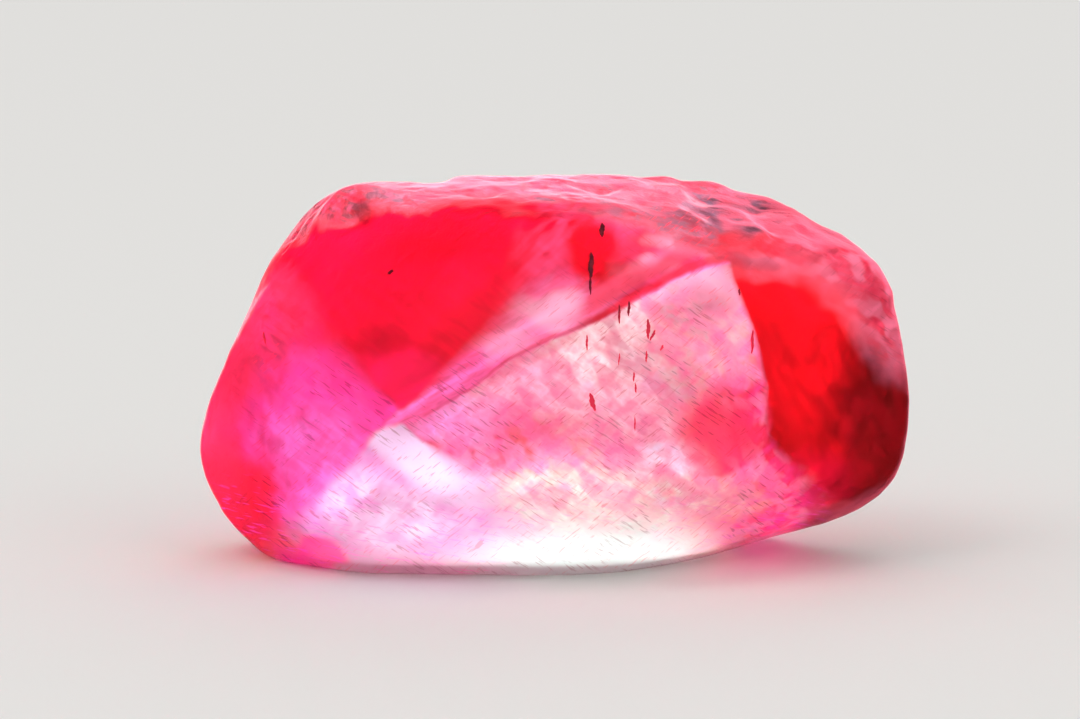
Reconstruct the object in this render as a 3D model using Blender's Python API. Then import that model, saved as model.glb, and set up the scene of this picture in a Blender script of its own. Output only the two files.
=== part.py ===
"""A raw ruby crystal, etched and worn round by water, resting on its flat underside.

It is one solid. It is shaped in millimetres, measured from a centre inside it, and the finished mesh is in
metres with its origin in the middle of the underside. X runs along the stone, Y from its front (-Y) to its
back (+Y), and Z is up.
"""

import math

import bmesh
import bpy
import numpy as np
from mathutils import Vector, noise

LENGTH = 20.0  # mm, along X
CENTRE_HEIGHT = 5.15  # mm, from the flat underside up to the centre inside the stone
MM = 0.001  # metres
FINE_SUBDIVISIONS = 7
WEAR_PASSES = 2
KEPT_TRIANGLES = 9200
RUBY_RED = (0.62, 0.02, 0.07, 1.0)

# The worn crystal faces. Each has the azimuth and elevation of its normal in degrees (azimuth 0 is +X,
# 90 the back, 180 -X and 270 the front), and its distance from the centre in mm.
WORN_FACES = {
    "table": (262, 86, 5.36),
    "table_right": (340, 76, 5.62),
    "table_back": (100, 56, 6.0),
    "front": (268, 4, 5.9),
    "front_upper_left": (232, 34, 6.5),
    "front_left": (222, 2, 7.3),
    "front_lower": (268, -46, 6.0),
    "front_lower_left": (228, -44, 7.8),
    "front_right": (313, 2, 7.4),
    "front_upper_right": (300, 42, 6.5),
    "front_lower_right": (308, -55, 6.3),
    "left_upper": (183, 51, 7.45),
    "left": (184, 27, 8.25),
    "left_lower": (180, -13, 10.35),
    "left_under": (184, -40, 9.5),
    "right": (357, 3, 11.2),
    "right_shoulder": (358, 26, 10.0),
    "right_upper": (2, 50, 8.65),
    "right_lower": (352, -30, 10.35),
    "right_under": (338, -74, 6.2),
    "back": (88, 6, 6.1),
    "back_left": (136, 8, 7.6),
    "back_right": (44, -4, 7.7),
    "back_lower": (92, -44, 6.2),
}
EDGE_SHARPNESS = 26.0  # a higher number leaves less wear on the edges between the faces

# The etched skin of the top stands proud of the smooth front face along this lip: (x, z) in mm.
SKIN_LIP = (
    (-7.0, 3.9), (-5.7, 4.7), (-3.9, 4.95), (1.3, 4.75), (3.7, 4.25), (5.2, 3.8), (7.4, 3.2), (9.2, 2.2),
)
SKIN_HEIGHT = 0.22
SKIN_EDGE = 0.2

# A crisp growth edge climbs across the front from lower left to upper right: (x, z) in mm.
FRONT_RIDGE = (
    (-4.3, -0.3), (-3.4, 0.05), (-2.4, 0.6), (-1.0, 1.5), (0.2, 2.1), (1.0, 2.4), (3.8, 3.7), (5.3, 3.95),
)
RIDGE_HEIGHT = 0.2
RIDGE_HALF_WIDTH = 0.5
RIDGE_STEP = 0.12  # the face above the ridge lies this much deeper

# Terraces step down the right end of the top.
TERRACE_START = 2.6
TERRACE_TREAD = 1.75
TERRACE_RISE = 0.26

# Hollows chipped in the surface: centre (x, y, z) in mm, radius and depth.
CHIPS = {
    "front_lobe": ((4.8, -6.0, -0.7), 1.5, 0.17),
    "front_low": ((-0.6, -5.6, -1.3), 1.4, 0.12),
    "corner_pit": ((-5.3, -3.6, 5.0), 0.55, 0.4),
    "left_nick": ((-8.2, -2.6, 2.0), 0.7, 0.2),
    "right_hollow": ((8.6, -3.0, 0.4), 1.9, 0.2),
    "back_shell": ((-4.6, 5.8, -1.2), 2.7, 0.4),
    "back_corner": ((7.4, 4.2, -1.8), 1.5, 0.34),
    "top_pit": ((-1.0, 0.9, 5.4), 0.7, 0.2),
    "top_hollow": ((4.9, 1.8, 4.6), 1.6, 0.26),
    "left_hollow": ((-8.6, 3.0, -1.0), 1.8, 0.26),
}
CHIP_UNEVENNESS = 0.32  # how far a chip's rim strays from round, as a share of its radius

# Raised growth hillocks: centre (x, y, z) in mm, radius and height.
LUMPS = {
    "top_left_crown": ((-5.4, -0.6, 4.8), 1.5, 0.36),
    "top_right_crown": ((6.0, -1.8, 4.5), 1.1, 0.16),
    "right_corner": ((8.2, -1.0, 4.2), 0.9, 0.14),
    "back_hillock": ((1.2, 6.3, -0.6), 1.6, 0.2),
    "back_hillock_high": ((-6.2, 4.2, 2.6), 1.3, 0.18),
    "left_knob": ((-9.6, -0.6, -1.2), 0.9, 0.12),
    "front_knob": ((2.0, -5.8, -3.0), 1.1, 0.1),
}

# Three-sided etch pits on the top: centre x and y and side length in mm, and turn in degrees.
ETCH_TRIANGLES = (
    (-3.2, 2.0, 2.3, 12),
    (0.2, 2.9, 1.6, 18),
    (1.5, -0.2, 1.9, 8),
    (-1.6, -1.6, 1.5, 15),
    (3.4, 2.6, 1.7, 10),
)
ETCH_DEPTH = 0.2

# Growth ripples curve round the right end.
RIPPLE_CENTRE = (6.9, 0.0)  # x, z
RIPPLE_RADII = (1.5, 2.1, 2.75)
RIPPLE_HEIGHT = 0.13
RIPPLE_HALF_WIDTH = 0.28

# Ledges break the back in slanting steps.
BACK_LEDGES = ((-3.0, 35), (0.4, 40), (3.2, 33))  # the height in mm where each crosses x = 0, and its slope
BACK_LEDGE_STEP = 0.3
BACK_LEDGE_EDGE = 0.26


def clear_scene():
    for obj in list(bpy.data.objects):
        bpy.data.objects.remove(obj, do_unlink=True)


def face_normal(azimuth, elevation):
    turn = math.radians(azimuth)
    rise = math.radians(elevation)
    flat = math.cos(rise)
    return np.array((flat * math.cos(turn), flat * math.sin(turn), math.sin(rise)))


def ramp(values, low, high):
    """0 up to low, 1 from high on, and smooth between them."""
    share = np.clip((values - low) / (high - low), 0.0, 1.0)
    return share * share * (3.0 - 2.0 * share)


def worn_body(directions):
    """The worn surface along each direction from the centre, cut off flat at the underside."""
    nearness = np.zeros(len(directions))
    for azimuth, elevation, distance in WORN_FACES.values():
        toward = directions @ face_normal(azimuth, elevation) / distance
        nearness += np.maximum(toward, 0.0) ** EDGE_SHARPNESS
    reach = nearness ** (-1.0 / EDGE_SHARPNESS)
    down = np.maximum(-directions[:, 2], 1e-6)
    reach = np.minimum(reach, CENTRE_HEIGHT / down)
    return directions * reach[:, None]


def cloudy(points, size, octaves, shift):
    """Smooth noise of about -1 to 1, whose lumps are size mm across."""
    values = [
        noise.fractal(Vector(point) / size + Vector((shift, 0.0, 0.0)), 1.0, 2.0, octaves)
        for point in points
    ]
    return np.array(values)


def distance_to_line(across, up, line):
    """The distance of each (across, up) from a bent line, and +1 above the line or -1 below it."""
    nearest = np.full(len(across), np.inf)
    for (x0, z0), (x1, z1) in zip(line, line[1:]):
        run, rise = x1 - x0, z1 - z0
        share = ((across - x0) * run + (up - z0) * rise) / (run * run + rise * rise)
        share = np.clip(share, 0.0, 1.0)
        nearest = np.minimum(nearest, np.hypot(across - x0 - share * run, up - z0 - share * rise))
    line_x, line_z = zip(*line)
    side = np.where(up > np.interp(across, line_x, line_z), 1.0, -1.0)
    return nearest, side


def skin_lip(points, facing):
    """The etched skin of the top, which ends in a lip along the front."""
    ragged = 0.14 * cloudy(points, 0.9, 2, 4.0)
    line_x, line_z = zip(*SKIN_LIP)
    above = points[:, 2] - np.interp(points[:, 0], line_x, line_z) + ragged
    at_front = ramp(-facing[:, 1], -0.2, 0.15)
    over_line = ramp(above, -SKIN_EDGE, SKIN_EDGE)
    return SKIN_HEIGHT * (over_line * at_front + (1.0 - at_front) * ramp(facing[:, 2], 0.45, 0.7))


def front_ridge(points, facing):
    """The crisp edge across the front, with the face above it a little deeper."""
    away, side = distance_to_line(points[:, 0], points[:, 2], FRONT_RIDGE)
    crest = RIDGE_HEIGHT * (1.0 - ramp(away, 0.0, RIDGE_HALF_WIDTH))
    deeper = RIDGE_STEP * ramp(side * away, -0.1, 0.3) * ramp(3.0 - away, 0.0, 2.0)
    start, end = FRONT_RIDGE[0][0], FRONT_RIDGE[-1][0]
    along = ramp(points[:, 0], start - 0.5, start + 0.6) * (1.0 - ramp(points[:, 0], end - 0.8, end + 0.6))
    return (crest - deeper) * along * ramp(-facing[:, 1], 0.2, 0.5)


def terraces(points, facing):
    """Growth steps down the right end of the top: flat treads with steep risers."""
    drift = 0.9 * cloudy(points, 3.0, 2, 9.0) + 0.16 * points[:, 1]
    step = (points[:, 0] + drift - TERRACE_START) / TERRACE_TREAD
    tread = step - np.floor(step)
    rise = 0.5 - tread + ramp(tread, 0.7, 1.0)
    there = ramp(points[:, 0], TERRACE_START - 0.4, TERRACE_START + 0.8) * ramp(facing[:, 2], 0.5, 0.8)
    return -TERRACE_RISE * rise * there


def chips(points):
    """Rounded hollows with a fairly crisp rim."""
    total = np.zeros(len(points))
    uneven = CHIP_UNEVENNESS * cloudy(points, 1.1, 2, 5.0)
    for centre, radius, depth in CHIPS.values():
        away = np.linalg.norm(points - np.array(centre), axis=1) / radius + uneven
        away = np.maximum(away, 0.0)
        total -= depth * np.sqrt(np.maximum(1.0 - away**2, 0.0)) * ramp(1.0 - away, 0.0, 0.35)
    return total


def lumps(points):
    total = np.zeros(len(points))
    for centre, radius, height in LUMPS.values():
        away = np.linalg.norm(points - np.array(centre), axis=1) / radius
        total += height * (1.0 - ramp(away, 0.0, 1.0))
    return total


def etch_triangles(points, facing):
    total = np.zeros(len(points))
    for centre_x, centre_y, side, turn in ETCH_TRIANGLES:
        from_edges = []
        for corner in (90, 210, 330):
            angle = math.radians(corner + turn)
            outward = (points[:, 0] - centre_x) * math.cos(angle)
            outward += (points[:, 1] - centre_y) * math.sin(angle)
            from_edges.append(side * math.sqrt(3) / 6 - outward)
        inside = np.min(from_edges, axis=0)
        total -= ETCH_DEPTH * ramp(inside, -0.05, 0.3)
    return total * ramp(facing[:, 2], 0.75, 0.9)


def ripples(points, facing):
    across = np.hypot(points[:, 0] - RIPPLE_CENTRE[0], points[:, 2] - RIPPLE_CENTRE[1])
    across = across + 0.12 * cloudy(points, 1.4, 2, 2.0)
    total = np.zeros(len(points))
    for radius in RIPPLE_RADII:
        total += RIPPLE_HEIGHT * (1.0 - ramp(np.abs(across - radius), 0.0, RIPPLE_HALF_WIDTH))
    outer = ramp(points[:, 0], RIPPLE_CENTRE[0] + 0.4, RIPPLE_CENTRE[0] + 1.4)
    return total * outer * ramp(-facing[:, 1], 0.0, 0.3) * ramp(points[:, 2], -2.5, -1.0)


def back_ledges(points, facing):
    """Slanting steps across the back, each side of which stays nearly flat."""
    total = np.zeros(len(points))
    wander = 0.3 * cloudy(points, 1.8, 2, 6.0)
    for crossing, slope in BACK_LEDGES:
        angle = math.radians(slope)
        above = (points[:, 2] - crossing) * math.cos(angle) - points[:, 0] * math.sin(angle) + wander
        step = ramp(above, -BACK_LEDGE_EDGE, BACK_LEDGE_EDGE)
        total -= BACK_LEDGE_STEP * step * ramp(2.2 - above, 0.0, 2.2)
    return total * ramp(facing[:, 1], 0.35, 0.65)


def surface_relief(points, facing):
    """How far each point stands out from the worn body, in mm."""
    relief = 0.16 * cloudy(points, 3.4, 2, 0.0) + 0.035 * cloudy(points, 0.8, 2, 1.0)
    relief += skin_lip(points, facing)
    relief += front_ridge(points, facing)
    relief += terraces(points, facing)
    relief += chips(points)
    relief += lumps(points)
    relief += etch_triangles(points, facing)
    relief += ripples(points, facing)
    relief += back_ledges(points, facing)
    above_rest = ramp(points[:, 2], -CENTRE_HEIGHT, -CENTRE_HEIGHT + 0.5)
    return relief * above_rest


def sphere_mesh():
    mesh = bpy.data.meshes.new("ruby_crystal")
    shell = bmesh.new()
    bmesh.ops.create_icosphere(shell, subdivisions=FINE_SUBDIVISIONS, radius=1.0)
    shell.to_mesh(mesh)
    shell.free()
    return mesh


def get_points(mesh):
    flat = np.empty(len(mesh.vertices) * 3, np.float32)
    mesh.vertices.foreach_get("co", flat)
    return flat.reshape(-1, 3).astype(float)


def set_points(mesh, points):
    mesh.vertices.foreach_set("co", points.astype(np.float32).ravel())
    mesh.update()


def wear_edges(mesh):
    """Rounds the sharpest edges a little, as water does."""
    shell = bmesh.new()
    shell.from_mesh(mesh)
    for _ in range(WEAR_PASSES):
        bmesh.ops.smooth_vert(
            shell, verts=shell.verts, factor=0.5, use_axis_x=True, use_axis_y=True, use_axis_z=True
        )
    shell.to_mesh(mesh)
    shell.free()


def thinned(crystal, mesh):
    """The same shape with fewer triangles, so that flat stretches have the large ones."""
    thin = crystal.modifiers.new("thin", "DECIMATE")
    thin.ratio = KEPT_TRIANGLES / len(mesh.polygons)
    thin.use_collapse_triangulate = True
    graph = bpy.context.evaluated_depsgraph_get()
    result = bpy.data.meshes.new_from_object(crystal.evaluated_get(graph))
    crystal.modifiers.remove(thin)
    return result


def ruby_material():
    material = bpy.data.materials.new("raw_ruby")
    material.use_nodes = True
    shader = material.node_tree.nodes["Principled BSDF"]
    shader.inputs["Base Color"].default_value = RUBY_RED
    shader.inputs["Metallic"].default_value = 0.0
    shader.inputs["Roughness"].default_value = 0.3
    shader.inputs["IOR"].default_value = 1.77
    shader.inputs["Transmission Weight"].default_value = 0.85
    return material


def build_crystal():
    mesh = sphere_mesh()
    body = worn_body(get_points(mesh))
    set_points(mesh, body)
    facing = np.array([tuple(normal.vector) for normal in mesh.vertex_normals])
    points = body + facing * surface_relief(body, facing)[:, None]
    points[:, 2] = np.maximum(points[:, 2], -CENTRE_HEIGHT)
    set_points(mesh, points)
    wear_edges(mesh)

    crystal = bpy.data.objects.new("ruby_crystal", mesh)
    bpy.context.scene.collection.objects.link(crystal)
    crystal.data = thinned(crystal, mesh)
    bpy.data.meshes.remove(mesh)

    points = get_points(crystal.data)
    low, high = points.min(axis=0), points.max(axis=0)
    points -= ((low[0] + high[0]) / 2, (low[1] + high[1]) / 2, low[2])
    on_underside = points[:, 2] < 0.03
    points[on_underside, 2] = 0.0
    set_points(crystal.data, points * MM * LENGTH / (high[0] - low[0]))
    crystal.data.name = "ruby_crystal"
    crystal.data.shade_smooth()
    crystal.data.set_sharp_from_angle(angle=math.radians(35))
    crystal.data.materials.append(ruby_material())


clear_scene()
build_crystal()
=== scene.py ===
"""A raw ruby crystal on a pale floor, lit from below by a small lamp.

The stone is worked in millimetres and set down in metres. +X is its length, -Y its front and +Z is up.
"""

import math

import bmesh
import bpy
import numpy as np
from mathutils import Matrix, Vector
from mathutils.bvhtree import BVHTree


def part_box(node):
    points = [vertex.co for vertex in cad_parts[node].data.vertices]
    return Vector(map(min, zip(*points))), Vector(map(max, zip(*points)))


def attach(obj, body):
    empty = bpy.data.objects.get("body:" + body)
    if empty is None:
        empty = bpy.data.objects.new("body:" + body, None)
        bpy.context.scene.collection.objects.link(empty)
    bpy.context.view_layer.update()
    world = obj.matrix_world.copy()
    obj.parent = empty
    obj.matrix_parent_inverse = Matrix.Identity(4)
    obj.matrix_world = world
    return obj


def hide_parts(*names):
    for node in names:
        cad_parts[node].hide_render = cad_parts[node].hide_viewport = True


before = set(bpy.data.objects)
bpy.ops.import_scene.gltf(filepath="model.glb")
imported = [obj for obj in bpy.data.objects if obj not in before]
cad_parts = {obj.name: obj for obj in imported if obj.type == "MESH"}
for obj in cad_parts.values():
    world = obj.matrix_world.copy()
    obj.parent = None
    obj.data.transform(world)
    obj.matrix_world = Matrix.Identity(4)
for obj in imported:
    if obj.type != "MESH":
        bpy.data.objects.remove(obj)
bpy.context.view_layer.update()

# The stone. One corundum crystal that grew whole, was etched by hot fluids and then rolled round in a river
# bed. Its broad faces are nearly smooth, its top keeps a matte etched skin, and it rests on one flat facet.
MM = 0.001
GRAIN = 0.101  # mm between the points of its finished surface
SMOOTHING_PASSES = 16
SWELL_CELLS = 32  # after which the swells repeat
ONE_POINT = 1e-7  # m, within which corners of the CAD faces are the same


def wavy(points, size, seed):
    """Smooth random values of -1 to 1 at points in mm, with swells about size mm across."""
    lattice = np.random.default_rng(seed).uniform(-1, 1, (SWELL_CELLS,) * 3)
    place = points / size
    cell = np.floor(place).astype(int)
    share = place - cell
    share = share * share * (3 - 2 * share)
    total = np.zeros(len(points))
    for corner in np.ndindex(2, 2, 2):
        side = np.array(corner)
        weight = np.prod(np.where(side == 1, share, 1 - share), axis=1)
        total += weight * lattice[tuple(((cell + side) % SWELL_CELLS).T)]
    return total


def ramp(values, low, high):
    """0 up to low, 1 from high on, and smooth between them."""
    share = np.clip((values - low) / (high - low), 0, 1)
    return share * share * (3 - 2 * share)


def points_of(mesh):
    """The places of a mesh's points, one to a row."""
    flat = np.empty(len(mesh.vertices) * 3, np.float32)
    mesh.vertices.foreach_get("co", flat)
    return flat.reshape(-1, 3).astype(float)


def place_points(mesh, points):
    """Moves a mesh's points to these places."""
    mesh.vertices.foreach_set("co", points.astype(np.float32).ravel())
    mesh.update()


def fine_copy(node, name):
    """A smooth, evenly meshed copy of a CAD node, in millimetres."""
    shell = bmesh.new()
    shell.from_mesh(node.data)
    bmesh.ops.remove_doubles(shell, verts=shell.verts, dist=ONE_POINT)
    bmesh.ops.scale(shell, verts=shell.verts, vec=(1 / MM,) * 3)
    mesh = bpy.data.meshes.new(name)
    shell.to_mesh(mesh)
    shell.free()
    piece = bpy.data.objects.new(name, mesh)
    bpy.context.scene.collection.objects.link(piece)
    grain = piece.modifiers.new("grain", "REMESH")
    grain.mode = "VOXEL"
    grain.voxel_size = GRAIN
    soften = piece.modifiers.new("soften", "SMOOTH")
    soften.factor = 0.5
    soften.iterations = SMOOTHING_PASSES
    graph = bpy.context.evaluated_depsgraph_get()
    fine = bpy.data.meshes.new_from_object(piece.evaluated_get(graph))
    piece.modifiers.clear()
    piece.data = fine
    bpy.data.meshes.remove(mesh)
    fine.name = name
    return piece


ruby = fine_copy(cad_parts["ruby_crystal"], "ruby_stone")
body = points_of(ruby.data)
facing = np.array([tuple(normal.vector) for normal in ruby.data.vertex_normals])
low_corner, high_corner = (np.array(corner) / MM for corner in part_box("ruby_crystal"))

# Etched hatching runs down to the right in one direction of the lattice, with a weaker set across it.
HATCH_RUN = np.array((0.79, 0.05, -0.61))
HATCH_CROSS = np.array((0.61, 0.0, 0.79))
HATCH_LENGTH = 1.1
HATCH_WIDTH = 0.24


def hatching(run, across, seed):
    """Values of -1 to 1 at the stone's points, drawn out along run."""
    axes = np.stack((run / HATCH_LENGTH, across / HATCH_WIDTH, (0, 1 / HATCH_LENGTH, 0)), axis=1)
    return wavy(body @ axes, 1.0, seed)


# The relief in mm. It is gentle on the worn faces and rougher where the etched skin faces up, and it dies
# out towards the underside, which stays flat.
FINE_SWELL = 0.007
BROAD_SWELL = 0.015
HATCH_HEIGHT = 0.008
CROSS_HATCH_HEIGHT = 0.005
SKIN_SWELL = 0.02
SKIN_PIT = 0.03
UNTOUCHED_BELOW = 0.02  # mm above the floor
FULL_RELIEF_ABOVE = 0.4  # mm above the floor
upward = ramp(facing[:, 2], 0.35, 0.75)
relief = FINE_SWELL * wavy(body, 0.34, 13) + BROAD_SWELL * wavy(body, 0.9, 14)
relief += HATCH_HEIGHT * hatching(HATCH_RUN, HATCH_CROSS, 11)
relief += CROSS_HATCH_HEIGHT * hatching(HATCH_CROSS, HATCH_RUN, 12)
relief += upward * (SKIN_SWELL * wavy(body, 0.45, 15) - SKIN_PIT * ramp(wavy(body, 0.3, 16), 0.35, 0.7))
relief *= ramp(body[:, 2], UNTOUCHED_BELOW, FULL_RELIEF_ABOVE)
finished = body + facing * relief[:, None]
spread = np.ptp(finished, axis=0)
finished = low_corner + (finished - finished.min(axis=0)) * (high_corner - low_corner) / spread
finished[:, 2] = np.maximum(finished[:, 2], 0)
place_points(ruby.data, finished * MM)
ruby.data.shade_smooth()

# Its colour. Chromium reddens the whole crystal. Clear windows look deep red, and where fine silk and healed
# cracks scatter light it is pink to white. The zones follow planes of the lattice right through the stone.
# Painted light lies among them: a white glow where the lamp shines in, a pale outline, reflections of the
# room and shade at the thick right end.


def put(tree, kind, *values, **settings):
    """Adds a node to a tree, with its settings, and gives its inputs these values or links in turn."""
    made = tree.nodes.new("ShaderNode" + kind)
    for setting, value in settings.items():
        setattr(made, setting, value)
    for socket, value in zip(made.inputs, values):
        if isinstance(value, bpy.types.NodeSocket):
            tree.links.new(value, socket)
        elif value is not None:
            socket.default_value = value
    return made


def sum_of(tree, *values):
    """The sum of links and numbers."""
    total = values[0]
    for value in values[1:]:
        total = put(tree, "Math", total, value, operation="ADD").outputs[0]
    return total


def product_of(tree, *values):
    """The product of links and numbers."""
    total = values[0]
    for value in values[1:]:
        total = put(tree, "Math", total, value, operation="MULTIPLY").outputs[0]
    return total


def eased(tree, value, low, high):
    """0 up to low, 1 from high on, and smooth between them. With high below low it falls instead."""
    return put(tree, "MapRange", value, low, high, 0.0, 1.0, interpolation_type="SMOOTHSTEP").outputs[0]


def noise(tree, place, scale, detail, roughness=0.5):
    """Noise at places in mm, with about scale swells to the mm. It has a value and a colour."""
    return put(tree, "TexNoise", place, None, scale, detail, roughness).outputs


def new_group(name, inputs, outputs):
    """An empty node group with its named sockets. It returns the group, its inputs and its output node."""
    group = bpy.data.node_groups.new(name, "ShaderNodeTree")
    for label, kind in inputs.items():
        group.interface.new_socket(label, in_out="INPUT", socket_type="NodeSocket" + kind)
    for label, kind in outputs.items():
        group.interface.new_socket(label, in_out="OUTPUT", socket_type="NodeSocket" + kind)
    return group, group.nodes.new("NodeGroupInput").outputs, group.nodes.new("NodeGroupOutput").inputs


def use_group(tree, group, **values):
    """Places a node group in a tree and sets its named inputs."""
    made = tree.nodes.new("ShaderNodeGroup")
    made.node_tree = group
    for label, value in values.items():
        socket = made.inputs[label]
        if isinstance(value, bpy.types.NodeSocket):
            tree.links.new(value, socket)
        else:
            socket.default_value = value
    return made.outputs


def eased_about(tree, value, middle, softness, way=1):
    """0 to 1 over a width of softness about the middle, rising, or falling with way -1."""
    low = put(tree, "Math", softness, -0.5 * way, middle, operation="MULTIPLY_ADD").outputs[0]
    high = put(tree, "Math", softness, 0.5 * way, middle, operation="MULTIPLY_ADD").outputs[0]
    return eased(tree, value, low, high)


# A mask of what lies beyond a plane in the stone.
plane_side, given, result = new_group(
    "plane_side",
    {"Point": "Vector", "Direction": "Vector", "Distance": "Float", "Softness": "Float"},
    {"Mask": "Float"},
)
reach = put(plane_side, "VectorMath", given["Point"], given["Direction"], operation="DOT_PRODUCT")
reach = reach.outputs["Value"]
plane_side.links.new(eased_about(plane_side, reach, given["Distance"], given["Softness"]), result["Mask"])

# A mask of a rounded patch in the stone.
patch, given, result = new_group(
    "patch",
    {"Point": "Vector", "Centre": "Vector", "Size": "Vector", "Softness": "Float"},
    {"Mask": "Float"},
)
reach = put(patch, "VectorMath", given["Point"], given["Centre"], operation="SUBTRACT").outputs[0]
reach = put(patch, "VectorMath", reach, given["Size"], operation="DIVIDE").outputs[0]
reach = put(patch, "VectorMath", reach, operation="LENGTH").outputs["Value"]
patch.links.new(eased_about(patch, reach, 1.0, given["Softness"], -1), result["Mask"])

# Dashes drawn out along one direction. Coverage is the share of the surface they take.
strokes, given, result = new_group(
    "strokes",
    {
        "Point": "Vector",
        "Shift": "Vector",
        "Turn": "Vector",
        "Stretch": "Vector",
        "Coverage": "Float",
        "Softness": "Float",
    },
    {"Dashes": "Float"},
)
placing = given["Point"], given["Shift"], given["Turn"], given["Stretch"]
laid = put(strokes, "Mapping", *placing, vector_type="TEXTURE").outputs[0]
grain = noise(strokes, laid, 1.0, 1.0, 0.55)["Fac"]
cover = put(strokes, "Math", given["Coverage"], -0.5, 0.75, operation="MULTIPLY_ADD").outputs[0]
strokes.links.new(eased_about(strokes, grain, cover, given["Softness"]), result["Dashes"])

ruby_finish = bpy.data.materials.new("ruby")
ruby_finish.use_nodes = True
tree = ruby_finish.node_tree
shader = tree.nodes["Principled BSDF"]

# The zones are laid out in mm along the stone and up its front, from its middle, and run through it at the
# lattice's slant. Their edges waver a little.
STONE_MIDDLE = (0, 0, 5.15)
LATTICE_SLANT = math.radians(8)
UPWARD = (0, math.sin(LATTICE_SLANT), math.cos(LATTICE_SLANT))
INWARD = (0, math.cos(LATTICE_SLANT), -math.sin(LATTICE_SLANT))
point = put(tree, "TexCoord").outputs["Object"]
point = put(tree, "VectorMath", point, (1 / MM,) * 3, operation="MULTIPLY").outputs[0]
point = put(tree, "VectorMath", point, STONE_MIDDLE, operation="SUBTRACT").outputs[0]
along = put(tree, "SeparateXYZ", point).outputs["X"]
up = put(tree, "VectorMath", point, UPWARD, operation="DOT_PRODUCT").outputs["Value"]
depth = put(tree, "VectorMath", point, INWARD, operation="DOT_PRODUCT").outputs["Value"]
plan = put(tree, "CombineXYZ", along, up, depth).outputs[0]


NOISE_MIDDLE = 0.5
NOISE_SWING = 0.25  # which noise mostly keeps within, on either side of its middle


def wavering(size, amount):
    """The plan with every point shifted by up to about amount mm, in swells of about size mm."""
    swell = noise(tree, plan, 1 / size, 1.6)["Color"]
    swell = put(tree, "VectorMath", swell, (NOISE_MIDDLE,) * 3, operation="SUBTRACT").outputs[0]
    swell = put(tree, "VectorMath", swell, (amount / NOISE_SWING,) * 3, operation="MULTIPLY").outputs[0]
    return put(tree, "VectorMath", plan, swell, operation="ADD").outputs[0]


crisp = wavering(0.5, 0.035)
cloudy = wavering(1.4, 0.35)


def above(start, end, softness=0.3, place=crisp):
    """What lies to the left of the way from start to end."""
    run, rise = end[0] - start[0], end[1] - start[1]
    length = math.hypot(run, rise)
    direction = (-rise / length, run / length, 0)
    distance = direction[0] * start[0] + direction[1] * start[1]
    values = {"Point": place, "Direction": direction, "Distance": distance, "Softness": softness}
    return use_group(tree, plane_side, **values)["Mask"]


RIGHT_THROUGH = 60.0  # mm, several times the depth of the stone


def around(middle, size, softness, place=cloudy):
    """A rounded patch that runs right through the stone."""
    centre, reach = (*middle, 0), (*size, RIGHT_THROUGH)
    return use_group(tree, patch, Point=place, Centre=centre, Size=reach, Softness=softness)["Mask"]


def outside(mask):
    """What a mask leaves."""
    return put(tree, "Math", 1.0, mask, operation="SUBTRACT").outputs[0]


PLAN_SPAN = 24  # mm, which the curves below are laid out in


def traced(coordinate, points):
    """A smooth curve through points, as what the second coordinate is at each value of the first."""
    share = put(tree, "MapRange", coordinate, -PLAN_SPAN / 2, PLAN_SPAN / 2, 0.0, 1.0).outputs[0]
    line = put(tree, "FloatCurve", 1.0, share)
    curve = line.mapping.curves[0]
    points = [(first / PLAN_SPAN + 0.5, second / PLAN_SPAN + 0.5) for first, second in points]
    curve.points[0].location = (0.0, points[0][1])
    curve.points[1].location = (1.0, points[-1][1])
    for place in points:
        curve.points.new(*place)
    line.mapping.update()
    return put(tree, "MapRange", line.outputs[0], 0.0, 1.0, -PLAN_SPAN / 2, PLAN_SPAN / 2).outputs[0]


SCREEN_CURVE = 2.4  # from screen values to light
ROOT_TAKEN = 2  # since each face that light crosses tints it with the base colour's square root


def tint(red, green, blue):
    """The base colour that shows as this screen colour, of 0 to 255, where light leaves the stone."""
    light = [((value / 255 + 0.055) / 1.055) ** SCREEN_CURVE for value in (red, green, blue)]
    return *(value**ROOT_TAKEN for value in light), 1


def laid_over(below, mask, colour, share=1.0):
    """A colour over what is below, where the mask is."""
    mixed = put(tree, "Mix", data_type="RGBA")
    if share < 1:
        mask = product_of(tree, mask, share)
    tree.links.new(mask, mixed.inputs["Factor"])
    for label, value in (("A", below), ("B", colour)):
        socket = next(s for s in mixed.inputs if s.name == label and s.type == "RGBA")
        if isinstance(value, bpy.types.NodeSocket):
            tree.links.new(value, socket)
        else:
            socket.default_value = value
    return next(s for s in mixed.outputs if s.type == "RGBA")


crisp_along, crisp_up, _ = put(tree, "SeparateXYZ", crisp).outputs
cloud_along, cloud_up, _ = put(tree, "SeparateXYZ", cloudy).outputs
DASH_DEPTH = 1.2  # mm


def dashes(turn, length, width, coverage, softness, shift=0, place=plan):
    """Dashes of this length and width in mm, turned by degrees. Another shift gives another set."""
    return use_group(
        tree,
        strokes,
        Point=place,
        Shift=(shift, shift, shift),
        Turn=(0, 0, math.radians(turn)),
        Stretch=(length, width, DASH_DEPTH),
        Coverage=coverage,
        Softness=softness,
    )["Dashes"]


def layered(colour, *layers):
    """Layers of colour over what is below. Each is its masks, its colour and its share."""
    for masks, shade, share in layers:
        colour = laid_over(colour, product_of(tree, *masks), shade, share)
    return colour


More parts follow.
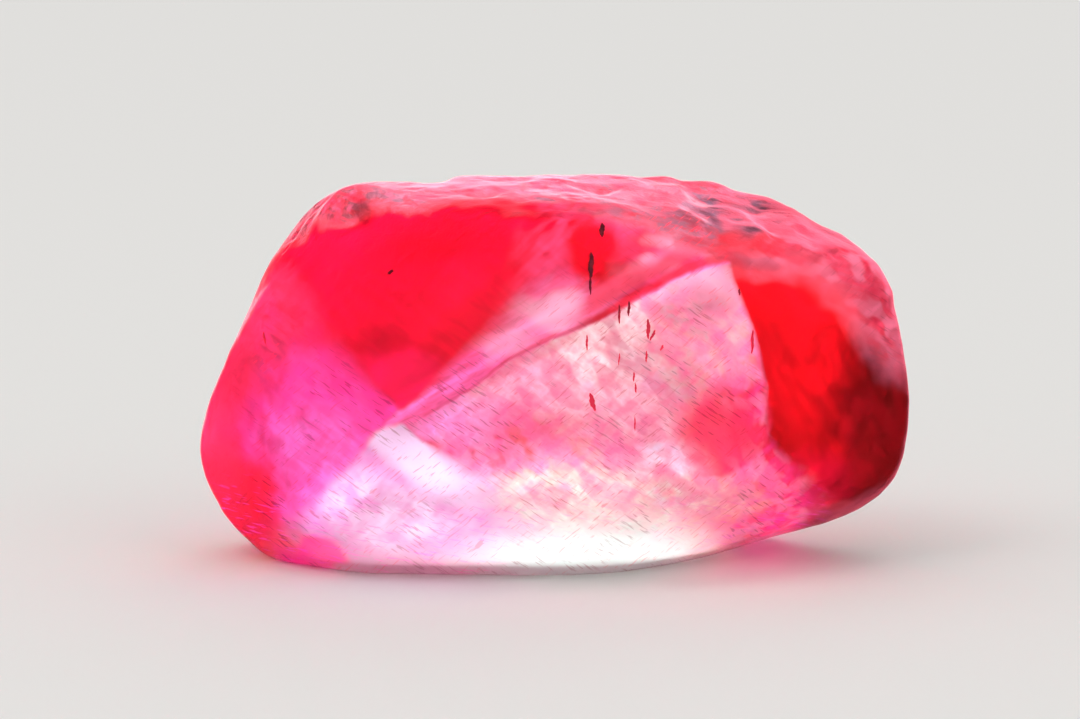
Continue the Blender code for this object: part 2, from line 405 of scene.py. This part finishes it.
# Silk is fine and soft, scratches are thin and sharp, and cells and clouds are haze between healed cracks.
falling_silk = dashes(-36, 1.1, 0.26, 0.5, 0.3)
rising_silk = dashes(46, 1.2, 0.3, 0.5, 0.3, 9)
scratched = eased(tree, noise(tree, plan, 0.6, 1.0)["Fac"], 0.42, 0.62)
scratches = product_of(tree, dashes(-34, 0.5, 0.06, 0.25, 0.07, 5), scratched)
rising_scratches = product_of(tree, dashes(40, 0.42, 0.06, 0.2, 0.07, 27), outside(scratched))
flat_scratches = dashes(-12, 0.5, 0.06, 0.22, 0.09, 37)
smudges = dashes(-20, 0.5, 0.22, 0.2, 0.12, 33)
cloud = noise(tree, plan, 0.95, 2.6, 0.6)["Fac"]
pale_cloud = eased(tree, cloud, 0.5, 0.32)
dark_cloud = eased(tree, cloud, 0.5, 0.68)
fine_cloud = noise(tree, plan, 3.2, 2.0, 0.6)["Fac"]
mottles = dashes(-30, 0.34, 0.15, 0.42, 0.12, 81)
pale_cells = dashes(-38, 0.95, 0.45, 0.45, 0.12, 91, crisp)
rosy_cells = dashes(44, 1.0, 0.4, 0.4, 0.14, 95, crisp)

# The planes and curves that part the zones, as places along and up the plan.
TIP = (-4.14, -0.95)  # of the clear window at the upper left
WINDOW_LEFT = (-6.68, 1.5)
WINDOW_RIGHT = (-0.82, 2.03)
window_softness = put(tree, "MapRange", along, -3.8, -1.4, 0.25, 1.5).outputs[0]
past_window_edge = above(TIP, WINDOW_RIGHT, window_softness)
tip_softness = put(tree, "MapRange", along, -6.6, -4.6, 1.1, 0.2).outputs[0]
left_of_tip = above((-7.15, -3.83), (-4.35, -1.0), tip_softness)
fading = put(tree, "MapRange", along, -6.6, -4.6, 1.7, 0.25).outputs[0]
over_window_foot = outside(above(TIP, WINDOW_LEFT, fading))
CREST = [(-4.1, -1.25), (-2.53, -0.5), (-1.13, 0.51), (0.93, 1.44), (2.14, 2.03), (3.92, 2.93), (6.17, 3.32)]
over_crest = sum_of(tree, crisp_up, product_of(tree, traced(crisp_along, CREST), -1.0))
beyond_crest = eased(tree, over_crest, -0.15, 0.05)
band_softness = put(tree, "MapRange", along, -3.6, -1.2, 0.15, 1.6).outputs[0]
left_of_band = above((0.4, -5.3), (-3.75, -1.7), band_softness)
# Painted glow: a white patch low in the middle, where the lamp's light enters from below.
painted_glow_spot = around((1.2, -5.1), (2.9, 1.15), 1.3)

# The hazy body, from pale cream in the middle to pink above and at the right. Its white middle and its pale
# patches low in the middle are painted glow of the lamp's light in the haze.
colour = layered(
    tint(182, 36, 71),
    ([around((1.5, 0.7), (1.5, 1.8), 1.2)], tint(255, 255, 255), 0.9),
    ([around((1.6, -1.2), (2.2, 1.2), 1.2)], tint(255, 216, 234), 0.8),
    ([around((4.5, 2.3), (1.2, 0.9), 1.2)], tint(186, 93, 114), 0.8),
    ([around((3.9, 1.3), (1.5, 1.5), 1.0)], tint(196, 179, 183), 0.8),
    ([around((-2.9, -1.0), (1.6, 0.6), 0.9)], tint(250, 180, 246), 0.85),
    ([around((-1.0, -0.2), (1.5, 0.8), 1.2)], tint(248, 205, 230), 0.85),
    ([around((3.6, 1.9), (1.2, 1.0), 1.2)], tint(200, 145, 165), 0.6),
    ([around((-0.15, -1.7), (1.2, 0.9), 1.3)], tint(207, 36, 54), 0.8),
    ([around((1.5, -2.0), (1.3, 0.7), 1.0)], tint(205, 47, 63), 0.5),
    ([around((3.1, -2.35), (1.1, 0.45), 1.0)], tint(218, 230, 252), 0.85),
    ([around((5.1, -3.7), (2.0, 1.3), 0.9)], tint(255, 36, 138), 0.9),
    ([around((1.4, -3.5), (3.2, 0.9), 1.2)], tint(203, 229, 218), 0.85),
    ([around((6.2, -2.7), (0.5, 1.2), 1.2)], tint(255, 43, 84), 0.8),
    ([dark_cloud], tint(226, 77, 179), 0.45),
    ([pale_cloud], tint(230, 165, 209), 0.6),
    ([falling_silk], tint(222, 38, 75), 0.3),
    ([pale_cells], tint(220, 130, 171), 0.6),
    ([eased(tree, fine_cloud, 0.42, 0.66)], tint(222, 36, 67), 0.22),
    ([smudges], tint(211, 71, 129), 0.25),
    ([rosy_cells], tint(232, 69, 152), 0.4),
    ([mottles], tint(225, 46, 122), 0.15),
    ([eased(tree, fine_cloud, 0.5, 0.32)], tint(240, 86, 147), 0.3),
    ([around((4.5, 2.6), (1.1, 0.8), 1.2)], tint(174, 120, 138), 0.85),
)

# White silk fills the bottom left, in a broad cloud with a band along its right edge.
right_of_cloud = outside(above((-0.6, -5.6), (-4.9, -1.95), 0.5))
band = product_of(tree, left_of_band, right_of_cloud, eased(tree, cloud_up, -4.2, -2.7))
colour = layered(
    colour,
    ([left_of_band], tint(187, 128, 178), 1.0),
    ([left_of_band, around((-4.4, -3.5), (1.7, 1.1), 1.2)], tint(221, 212, 235), 0.9),
    ([left_of_band, around((-4.6, -2.6), (0.9, 0.7), 1.2)], tint(209, 152, 199), 0.8),
    ([left_of_band, rising_silk], tint(193, 133, 191), 0.35),
    ([left_of_band, pale_cells], tint(206, 147, 198), 0.55),
    ([left_of_band, rosy_cells], tint(202, 117, 173), 0.3),
    ([left_of_band, dark_cloud], tint(198, 118, 187), 0.45),
    ([left_of_band, eased(tree, crisp_up, -4.0, -5.4)], tint(188, 161, 156), 0.6),
    ([band], tint(218, 210, 234), 0.9),
)

# Beyond the crest the haze is pink, with red streaks and pale patches along it.
streaks = dashes(30, 1.3, 0.16, 0.5, 0.3, 61)
high_right = product_of(tree, eased(tree, over_crest, 0.5, 1.5), eased(tree, cloud_along, 1.5, 2.6))
colour = layered(
    colour,
    ([beyond_crest], tint(255, 126, 201), 1.0),
    ([beyond_crest, eased(tree, cloud_along, -1.8, 0.4)], tint(195, 26, 46), 0.9),
    ([beyond_crest, high_right], tint(138, 25, 44), 0.8),
    ([beyond_crest, around((-0.5, 1.65), (1.7, 0.85), 1.3)], tint(255, 147, 200), 0.8),
    ([beyond_crest, around((3.2, 3.6), (1.3, 0.7), 1.2)], tint(123, 4, 28), 0.7),
    ([beyond_crest, streaks], tint(210, 33, 51), 0.45),
    ([beyond_crest, dashes(24, 0.8, 0.22, 0.42, 0.1, 101)], tint(202, 54, 72), 0.5),
    ([beyond_crest, dark_cloud], tint(237, 81, 138), 0.6),
    ([beyond_crest, around((-1.5, 0.95), (0.9, 0.4), 1.2)], tint(238, 178, 212), 0.7),
    ([beyond_crest, around((-0.2, 1.75), (0.9, 0.4), 1.2)], tint(232, 188, 212), 0.75),
    ([beyond_crest, around((2.3, 2.85), (0.9, 0.3), 1.2)], tint(190, 128, 152), 0.7),
    ([beyond_crest, around((3.7, 3.75), (0.9, 0.3), 1.2)], tint(170, 122, 142), 0.6),
)

# The flank at the left is rose with a magenta cloud, and red along its rim.
magenta = product_of(tree, around((-6.1, -2.5), (2.1, 2.0), 1.7), left_of_tip)
left_of_silk = above((-5.2, -5.6), (-6.6, -4.3), 0.6, cloudy)
colour = layered(
    colour,
    ([left_of_tip], tint(133, 34, 63), 1.0),
    ([left_of_tip, eased(tree, cloud_along, -7.6, -5.6)], tint(232, 17, 95), 0.8),
    ([magenta], tint(246, 73, 182), 1.0),
    ([magenta, around((-6.5, -2.2), (1.3, 1.1), 1.3)], tint(210, 122, 205), 0.8),
    ([magenta, around((-7.0, -3.9), (0.6, 0.9), 1.3)], tint(223, 59, 135), 0.6),
    ([magenta, falling_silk], tint(247, 78, 186), 0.5),
    ([magenta, pale_cells], tint(231, 93, 181), 0.5),
    ([magenta, rosy_cells], tint(225, 50, 130), 0.4),
    ([left_of_tip, falling_silk], tint(208, 49, 93), 0.4),
    ([left_of_tip, dark_cloud], tint(192, 3, 42), 0.6),
    ([eased(tree, cloud_along, -7.3, -9.0)], tint(160, 25, 55), 0.9),
    ([above((-6.9, -4.9), (-9.3, -1.5), 1.2, cloudy)], tint(225, 32, 67), 0.9),
    ([around((-8.2, -3.2), (0.6, 0.75), 1.4)], tint(250, 1, 50), 0.9),
    ([around((-6.75, -5.1), (1.0, 0.5), 0.8), left_of_silk], tint(229, 19, 138), 0.9),
    ([around((-7.9, 0.6), (0.5, 1.3), 1.2), falling_silk], tint(168, 31, 76), 0.8),
)

# The clear window at the upper left is deep red down to its sharp tip, and a red patch holds the needles.
upper = product_of(tree, past_window_edge, over_window_foot)
window_right = eased(tree, sum_of(tree, cloud_along, product_of(tree, cloud_up, -0.35)), -0.9, -2.6)
colour = layered(
    colour,
    ([upper], tint(165, 2, 38), 1.0),
    ([upper, eased(tree, cloud_along, -7.4, -5.6), window_right], tint(208, 2, 48), 1.0),
    ([upper, around((-3.4, 3.5), (2.3, 1.5), 1.8)], tint(146, 0, 8), 0.9),
    ([upper, around((-2.5, 1.7), (1.4, 1.3), 1.2)], tint(222, 4, 52), 0.9),
    ([upper, rising_silk, outside(window_right)], tint(226, 69, 114), 0.6),
    ([upper, falling_silk], tint(176, 0, 24), 0.35),
    ([upper, around((-4.2, -0.4), (1.1, 1.0), 1.1)], tint(236, 18, 88), 0.8),
    ([around((1.35, 3.3), (1.1, 1.25), 1.2)], tint(146, 0, 7), 0.8),
    ([around((1.15, 3.4), (0.6, 1.15), 0.9)], tint(174, 4, 26), 1.0),
)

# A fine red line traces the crest across the front. At the right a red thread and a pink one lie on it.
crest_line = eased(tree, put(tree, "Math", over_crest, operation="ABSOLUTE").outputs[0], 0.09, 0.02)
THREAD = [(0.3, 1.15), (1.01, 1.45), (2.3, 2.2), (3.94, 3.02), (5.0, 3.22), (6.8, 3.1)]
over_thread = sum_of(tree, crisp_up, product_of(tree, traced(crisp_along, THREAD), -1.0))
thread = product_of(tree, eased(tree, over_thread, -0.1, 0.0), eased(tree, over_thread, 0.24, 0.1))
over_the_thread = product_of(tree, eased(tree, over_thread, 0.2, 0.34), eased(tree, over_thread, 1.0, 0.6))
thread_reach = product_of(tree, eased(tree, crisp_along, 0.4, 1.2), eased(tree, cloud_along, 6.6, 5.2))
colour = layered(
    colour,
    ([crest_line, eased(tree, crisp_along, -4.2, -3.0)], tint(210, 4, 49), 0.6),
    ([thread, thread_reach], tint(198, 3, 26), 0.9),
    ([over_the_thread, thread_reach], tint(218, 77, 105), 0.8),
)

# The right end is clear red, and where the stone is thick it is painted dark, as painted shade for the light
# lost on the way through. A rosy lobe lies beside it.
END_EDGE = [(-4.4, 7.45), (-4.0, 7.3), (-2.93, 6.87), (-1.96, 6.0), (0.2, 5.7), (1.5, 5.35), (3.13, 4.8)]
DARK_EDGE = [(-3.92, 7.24), (-2.6, 7.7), (-1.52, 7.4), (-0.45, 7.62), (1.18, 8.2), (1.9, 8.7)]
past_end_edge = sum_of(tree, crisp_along, product_of(tree, traced(crisp_up, END_EDGE), -1.0))
past_dark_edge = sum_of(tree, cloud_along, product_of(tree, traced(cloud_up, DARK_EDGE), -1.0))
end_softness = put(tree, "MapRange", crisp_up, -3.2, -1.6, 0.9, 0.12).outputs[0]
right_end = put(tree, "Math", past_end_edge, end_softness, operation="DIVIDE").outputs[0]
right_end = eased(tree, right_end, -1.0, 1.0)
end_streaks = dashes(-62, 1.4, 0.4, 0.45, 0.25, 41)
# Painted shade: the right end is painted dark where the stone is thick.
painted_shade_end = product_of(tree, eased(tree, past_dark_edge, -1.0, 0.9), eased(tree, cloud_up, 2.2, 0.8))
lobe = product_of(tree, around((4.6, -1.55), (1.15, 1.3), 1.2), around((4.2, -1.2), (1.8, 1.6), 0.08, crisp))
colour = layered(
    colour,
    ([right_end], tint(180, 1, 18), 1.0),
    ([right_end, end_streaks], tint(158, 0, 10), 0.6),
    ([right_end, eased(tree, cloud_up, -1.8, -3.2)], tint(216, 4, 54), 0.7),
    ([painted_shade_end], tint(84, 1, 6), 1.0),
    ([painted_shade_end, end_streaks], tint(104, 1, 12), 0.6),
    ([lobe], tint(229, 49, 90), 0.95),
)

# The etched skin covers the top and the right shoulder. Its pits hold dark red, and greyish painted
# reflections of the room lie at the right.
SKIN_EDGE = [
    (-6.2, 4.2), (-5.4, 4.55), (-4.34, 4.65), (1.3, 4.6), (3.5, 3.8),
    (5.24, 3.24), (6.93, 3.0), (8.3, 1.9), (9.89, 0.2),
]
over_skin_edge = sum_of(tree, cloud_up, product_of(tree, traced(crisp_along, SKIN_EDGE), -1.0))
skin_softness = put(tree, "MapRange", along, 3.0, 7.5, 0.5, 2.2).outputs[0]
skin = eased_about(tree, over_skin_edge, 0.0, skin_softness)
# Painted reflections of the room: greyish patches on the skin at the right.
painted_room_reflections = sum_of(tree, around((5.4, 4.6), (1.7, 0.6), 1.0), around((8.2, 4.1), (0.9, 0.6), 1.0))
shoulder = eased(tree, cloud_along, 3.8, 6.5)
skin_dashes = dashes(-14, 0.8, 0.14, 0.45, 0.15, 14)
colour = layered(
    colour,
    ([skin], tint(112, 74, 88), 1.0),
    ([skin, shoulder], tint(150, 42, 64), 0.9),
    ([skin, eased(tree, cloud_along, -4.4, -6.0)], tint(102, 17, 21), 0.9),
    ([skin, pale_cloud], tint(168, 31, 60), 0.7),
    ([skin, eased(tree, fine_cloud, 0.5, 0.3)], tint(148, 62, 86), 0.7),
    ([skin, skin_dashes], tint(152, 32, 56), 0.7),
    ([skin, dashes(-22, 0.35, 0.12, 0.22, 0.06, 51)], tint(148, 3, 34), 0.7),
    ([skin, shoulder, pale_cells], tint(156, 84, 104), 0.7),
    ([skin, shoulder, rosy_cells], tint(124, 14, 34), 0.6),
    ([skin, shoulder, scratches], tint(84, 4, 20), 0.7),
    ([skin, rising_scratches], tint(96, 20, 36), 0.5),
    ([skin, around((5.55, 3.72), (1.2, 0.42), 0.6)], tint(154, 0, 0), 0.9),
    ([skin, painted_room_reflections, eased(tree, cloud, 0.7, 0.52)], tint(72, 60, 74), 0.95),
    ([skin, painted_room_reflections, skin_dashes], tint(57, 14, 32), 0.8),
    ([around((-5.3, 4.5), (0.32, 0.4), 1.0, crisp)], tint(74, 0, 0), 0.85),
)

# Where the lamp's light enters from below, the stone is painted white as a painted glow. Scratches cross all
# but the clear windows.
busy = product_of(tree, outside(upper), outside(right_end))
low_down = product_of(tree, busy, eased(tree, crisp_up, -2.6, -4.2))
colour = layered(
    colour,
    ([painted_glow_spot], tint(186, 209, 203), 0.95),
    ([scratches, busy], tint(139, 4, 39), 0.65),
    ([rising_scratches, busy], tint(200, 4, 47), 0.6),
    ([flat_scratches, low_down, outside(painted_glow_spot)], tint(225, 75, 189), 0.5),
)

# Painted rim light: where the surface is seen edge-on, its outline is painted pale, for the light it gathers
# from the whole stone.
edge_on = put(tree, "LayerWeight", 0.5).outputs["Facing"]
colour = layered(
    colour,
    ([eased(tree, edge_on, 0.8, 0.99)], tint(150, 96, 106), 0.7),
    ([eased(tree, edge_on, 0.6, 0.92), right_end], tint(165, 66, 84), 0.7),
)
tree.links.new(colour, shader.inputs["Base Color"])

# Clear windows are smoother than the silky body. The etched skin is the roughest and has the deepest grain.
BODY_ROUGHNESS = 0.5
WINDOW_ROUGHNESS = 0.44
SKIN_ROUGHNESS = 0.56
BODY_GRAIN = 0.004 * MM
SKIN_GRAIN = 0.02 * MM
roughness = put(tree, "MapRange", outside(busy), 0.0, 1.0, BODY_ROUGHNESS, WINDOW_ROUGHNESS).outputs[0]
roughness = put(tree, "MapRange", skin, 0.0, 1.0, roughness, SKIN_ROUGHNESS).outputs[0]
tree.links.new(roughness, shader.inputs["Roughness"])
pitting = noise(tree, plan, 7.0, 2.0, 0.6)["Fac"]
grain_depth = put(tree, "MapRange", up, 3.0, 4.4, BODY_GRAIN, SKIN_GRAIN).outputs[0]
bump = put(tree, "Bump", 1.0, 1.0)
tree.links.new(product_of(tree, pitting, grain_depth), bump.inputs["Height"])
tree.links.new(bump.outputs[0], shader.inputs["Normal"])

# The crystal itself is see-through, bends light as corundum does, and soaks up green and blue.
shader.inputs["IOR"].default_value = 1.77
shader.inputs["Transmission Weight"].default_value = 0.88
absorb = tree.nodes.new("ShaderNodeVolumeAbsorption")
absorb.inputs["Color"].default_value = (0.985, 0.04, 0.3, 1)
absorb.inputs["Density"].default_value = 3.0
tree.links.new(absorb.outputs["Volume"], tree.nodes["Material Output"].inputs["Volume"])
ruby.data.materials.clear()
ruby.data.materials.append(ruby_finish)
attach(ruby, "root")
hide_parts("ruby_crystal")

# The needles. Dark mineral needles that stand upright behind the front face and reach its surface, with a few
# dark specks. Each is a tapered sliver of rutile, sunk in the stone.
NEEDLES = (  # along and up in the plan, length and width, in mm, and lean to the right as a share
    (1.31, 4.0, 0.42, 0.13, 0.05),
    (1.0, 3.02, 0.72, 0.13, 0.03),
    (0.98, 2.5, 0.6, 0.06, -0.02),
    (0.89, 0.9, 0.44, 0.05, 0.0),
    (1.77, 1.68, 0.54, 0.055, 0.0),
    (2.03, 1.83, 0.42, 0.07, 0.06),
    (2.56, 1.27, 0.56, 0.085, 0.0),
    (2.68, 1.1, 0.3, 0.07, 0.5),
    (2.51, 0.52, 0.32, 0.05, 0.04),
    (2.93, 0.76, 0.17, 0.06, 0.4),
    (1.77, 0.45, 0.34, 0.035, 0.1),
    (2.17, -0.03, 0.28, 0.045, 0.05),
    (2.22, -0.34, 0.3, 0.045, -0.06),
    (1.04, -0.72, 0.5, 0.12, -0.25),
    (2.2, -1.31, 0.42, 0.035, 0.0),
    (5.44, 0.93, 0.66, 0.09, 0.05),
    (5.1, 2.3, 0.2, 0.06, 0.0),
    (-4.5, 2.85, 0.13, 0.13, 0.6),
    (-8.06, 1.04, 0.34, 0.08, -0.2),
)
RINGS = 12
SIDES = 8
PLUMPNESS = 0.62  # half a needle's middle, as a share of its width
BLUNT_TIP = 0.12  # as a share of the middle
TAPER = 0.7  # below 1 it stays wide until near its tips
FLATNESS = 0.5  # its depth as a share of its thickness
SWAY = 0.1  # from side to side, as a share of its width
SWAY_RATE = 9  # radians along its length
LUMPS = 0.18  # as a share of its thickness
LUMP_RATE = 23  # radians along its length
LUMP_SHIFT = 7  # radians for each mm along the stone, so that no two are alike
IN_FRONT = 20  # mm, from where each ring is sought on the stone's face
surface = BVHTree.FromObject(ruby, bpy.context.evaluated_depsgraph_get())
inward = Vector(INWARD)
upward_axis = Vector(UPWARD)
slivers = bmesh.new()
for right, high, length, width, lean in NEEDLES:
    rings = []
    for ring in range(RINGS + 1):
        share = ring / RINGS
        rise = high + (share - 0.5) * length
        drift = right + (share - 0.5) * length * lean + SWAY * width * math.sin(SWAY_RATE * share + right)
        start = Vector(STONE_MIDDLE) + Vector((drift, 0, 0)) + upward_axis * rise - inward * IN_FRONT
        hit = surface.ray_cast(start * MM, inward)[0] / MM
        thick = PLUMPNESS * width * (BLUNT_TIP + (1 - BLUNT_TIP) * math.sin(math.pi * share) ** TAPER)
        thick *= 1 + LUMPS * math.sin(LUMP_RATE * share + LUMP_SHIFT * right)
        loop = []
        for side in range(SIDES):
            turn = 2 * math.pi * side / SIDES
            offset = Vector((thick * math.cos(turn), 0, 0)) + inward * (FLATNESS * thick * math.sin(turn))
            loop.append(slivers.verts.new((hit + offset) * MM))
        rings.append(loop)
    for lower, higher in zip(rings, rings[1:]):
        for side in range(SIDES):
            after = (side + 1) % SIDES
            slivers.faces.new((lower[side], lower[after], higher[after], higher[side]))
    slivers.faces.new(rings[0][::-1])
    slivers.faces.new(rings[-1])
bmesh.ops.recalc_face_normals(slivers, faces=slivers.faces)
needle_mesh = bpy.data.meshes.new("needles")
slivers.to_mesh(needle_mesh)
slivers.free()
needles = bpy.data.objects.new("needles", needle_mesh)
bpy.context.scene.collection.objects.link(needles)
needles.data.shade_smooth()
rutile = bpy.data.materials.new("rutile")
rutile.use_nodes = True
tree = rutile.node_tree
shader = tree.nodes["Principled BSDF"]
place = put(tree, "TexCoord").outputs["Object"]
place = put(tree, "VectorMath", place, (1 / MM,) * 3, operation="MULTIPLY").outputs[0]
streaked = put(tree, "Mapping", place, None, None, (6.0, 6.0, 1.6)).outputs[0]
streaked = noise(tree, streaked, 1.0, 3.0, 0.6)["Fac"]
height = put(tree, "SeparateXYZ", place).outputs["Z"]

# The high ones are nearly black. Lower down, ruby red shows through them.
NEARLY_BLACK = (0.1, 0.001, 0.01, 1)
RED_THROUGH = (0.8, 0.015, 0.06, 1)
redder = put(tree, "MapRange", height, 8.2, 6.6, 0.0, 1.0).outputs[0]
redder = eased(tree, sum_of(tree, redder, streaked), 0.4, 1.3)
tree.links.new(laid_over(NEARLY_BLACK, redder, RED_THROUGH), shader.inputs["Base Color"])
tree.links.new(put(tree, "MapRange", streaked, 0.3, 0.7, 0.35, 0.6).outputs[0], shader.inputs["Roughness"])
needles.data.materials.append(rutile)
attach(needles, "root")

# The floor. A wide sheet of pale matte card, laid flat, on which the stone rests. It is far wider than the
# view, so that its sides don't show.
FLOOR_HALF = 1.5  # m
FLOOR_GAP = 0.00002  # m, between the card and the flat underside
CORNERS = ((-1, -1), (1, -1), (1, 1), (-1, 1))
floor_mesh = bpy.data.meshes.new("floor")
floor_mesh.from_pydata([(x * FLOOR_HALF, y * FLOOR_HALF, 0) for x, y in CORNERS], [], [(0, 1, 2, 3)])
floor = bpy.data.objects.new("floor", floor_mesh)
bpy.context.scene.collection.objects.link(floor)
floor.location.z = -FLOOR_GAP
card = bpy.data.materials.new("pale_card")
card.use_nodes = True
card_shader = card.node_tree.nodes["Principled BSDF"]
card_shader.inputs["Base Color"].default_value = (0.80, 0.79, 0.775, 1)
card_shader.inputs["Roughness"].default_value = 0.8
floor.data.materials.append(card)
floor.visible_glossy = False

# The light. A small lamp just inside the flat underside shines up through the stone, as a torch held under
# it would. Soft boxes and a pale room light the outside.
LAMP_PLACE = (-0.0010, -0.0001, 0.0003)
LAMP_AIM = (-0.0010, -0.0001, 0.01)  # straight up
LAMP_WIDTH = 0.0105
LAMP_DEPTH = 0.005
LAMP_POWER = 0.0056  # W
SOFT_BOXES = {  # place, width in m and power in W
    "key_light": ((-0.35, -0.25, 0.55), 0.35, 0.6),
    "fill_light": ((0.4, -0.4, 0.35), 0.4, 0.3),
    "back_light": ((0.1, 0.6, 0.4), 0.4, 0.4),
}
BOX_AIM = (0, 0, 0.005)


def disc_light(name, place, aim, width, power):
    """A round area light at a place, turned to its aim."""
    light = bpy.data.lights.new(name, "AREA")
    light.shape = "DISK"
    light.size = width
    light.energy = power
    holder = bpy.data.objects.new(name, light)
    holder.location = place
    holder.rotation_euler = (Vector(aim) - Vector(place)).to_track_quat("-Z", "Y").to_euler()
    bpy.context.scene.collection.objects.link(holder)
    return holder


lamp = disc_light("lamp_under_stone", LAMP_PLACE, LAMP_AIM, LAMP_WIDTH, LAMP_POWER)
lamp.data.shape = "ELLIPSE"
lamp.data.size_y = LAMP_DEPTH
for name, (place, width, power) in SOFT_BOXES.items():
    soft_box = disc_light(name, place, BOX_AIM, width, power)
    soft_box.visible_glossy = False
    soft_box.visible_transmission = False

# The room. Its walls light all sides evenly, and are dim in the stone's sheen so that the red stays deep.
ROOM_COLOUR = (0.87, 0.868, 0.86, 1)
ROOM_LIGHT = 1.0
MIRRORED_LIGHT = 0.03  # what the stone's sheen shows of the room
HORIZON_LIGHT = 0.82  # so that the floor's far edge hardly shows against it
world = bpy.data.worlds.new("pale_room")
bpy.context.scene.world = world
world.use_nodes = True
world.cycles.sampling_method = "NONE"
room = world.node_tree
room.nodes["Background"].inputs["Color"].default_value = ROOM_COLOUR
mirrored = room.nodes.new("ShaderNodeLightPath").outputs["Is Glossy Ray"]
dimmed = room.nodes.new("ShaderNodeMapRange")
room.links.new(mirrored, dimmed.inputs["Value"])
dimmed.inputs["To Min"].default_value = ROOM_LIGHT
dimmed.inputs["To Max"].default_value = MIRRORED_LIGHT
seen = room.nodes.new("ShaderNodeLightPath").outputs["Is Camera Ray"]
horizon = room.nodes.new("ShaderNodeMapRange")
room.links.new(seen, horizon.inputs["Value"])
room.links.new(dimmed.outputs[0], horizon.inputs["To Min"])
horizon.inputs["To Max"].default_value = HORIZON_LIGHT
room.links.new(horizon.outputs[0], room.nodes["Background"].inputs["Strength"])

# The camera, a little above the stone and well back from it, with a long lens. It aims beside the middle of
# the stone, which then stands right of the middle of the picture and a little low in it.
VIEW_RISE = math.radians(8)
VIEW_DISTANCE = 0.190
SENSOR_WIDTH = 36  # mm
FRAME_WIDTH = 0.03042  # m, of the view where the stone is
VIEW_MIDDLE = Vector((0, 0, 0.00515))
SHIFT_ALONG = -0.00039
SHIFT_UP = 0.00044
sight = Vector((0, math.cos(VIEW_RISE), -math.sin(VIEW_RISE)))
picture_up = Vector((0, math.sin(VIEW_RISE), math.cos(VIEW_RISE)))
aim = VIEW_MIDDLE + Vector((SHIFT_ALONG, 0, 0)) + picture_up * SHIFT_UP
lens = bpy.data.cameras.new("camera")
lens.sensor_width = SENSOR_WIDTH
lens.lens = SENSOR_WIDTH * VIEW_DISTANCE / FRAME_WIDTH
lens.clip_start = 0.001
lens.clip_end = 10
camera = bpy.data.objects.new("camera", lens)
camera.location = aim - sight * VIEW_DISTANCE
camera.rotation_euler = sight.to_track_quat("-Z", "Y").to_euler()
bpy.context.scene.collection.objects.link(camera)
bpy.context.scene.camera = camera
bpy.context.scene.view_settings.view_transform = "Standard"
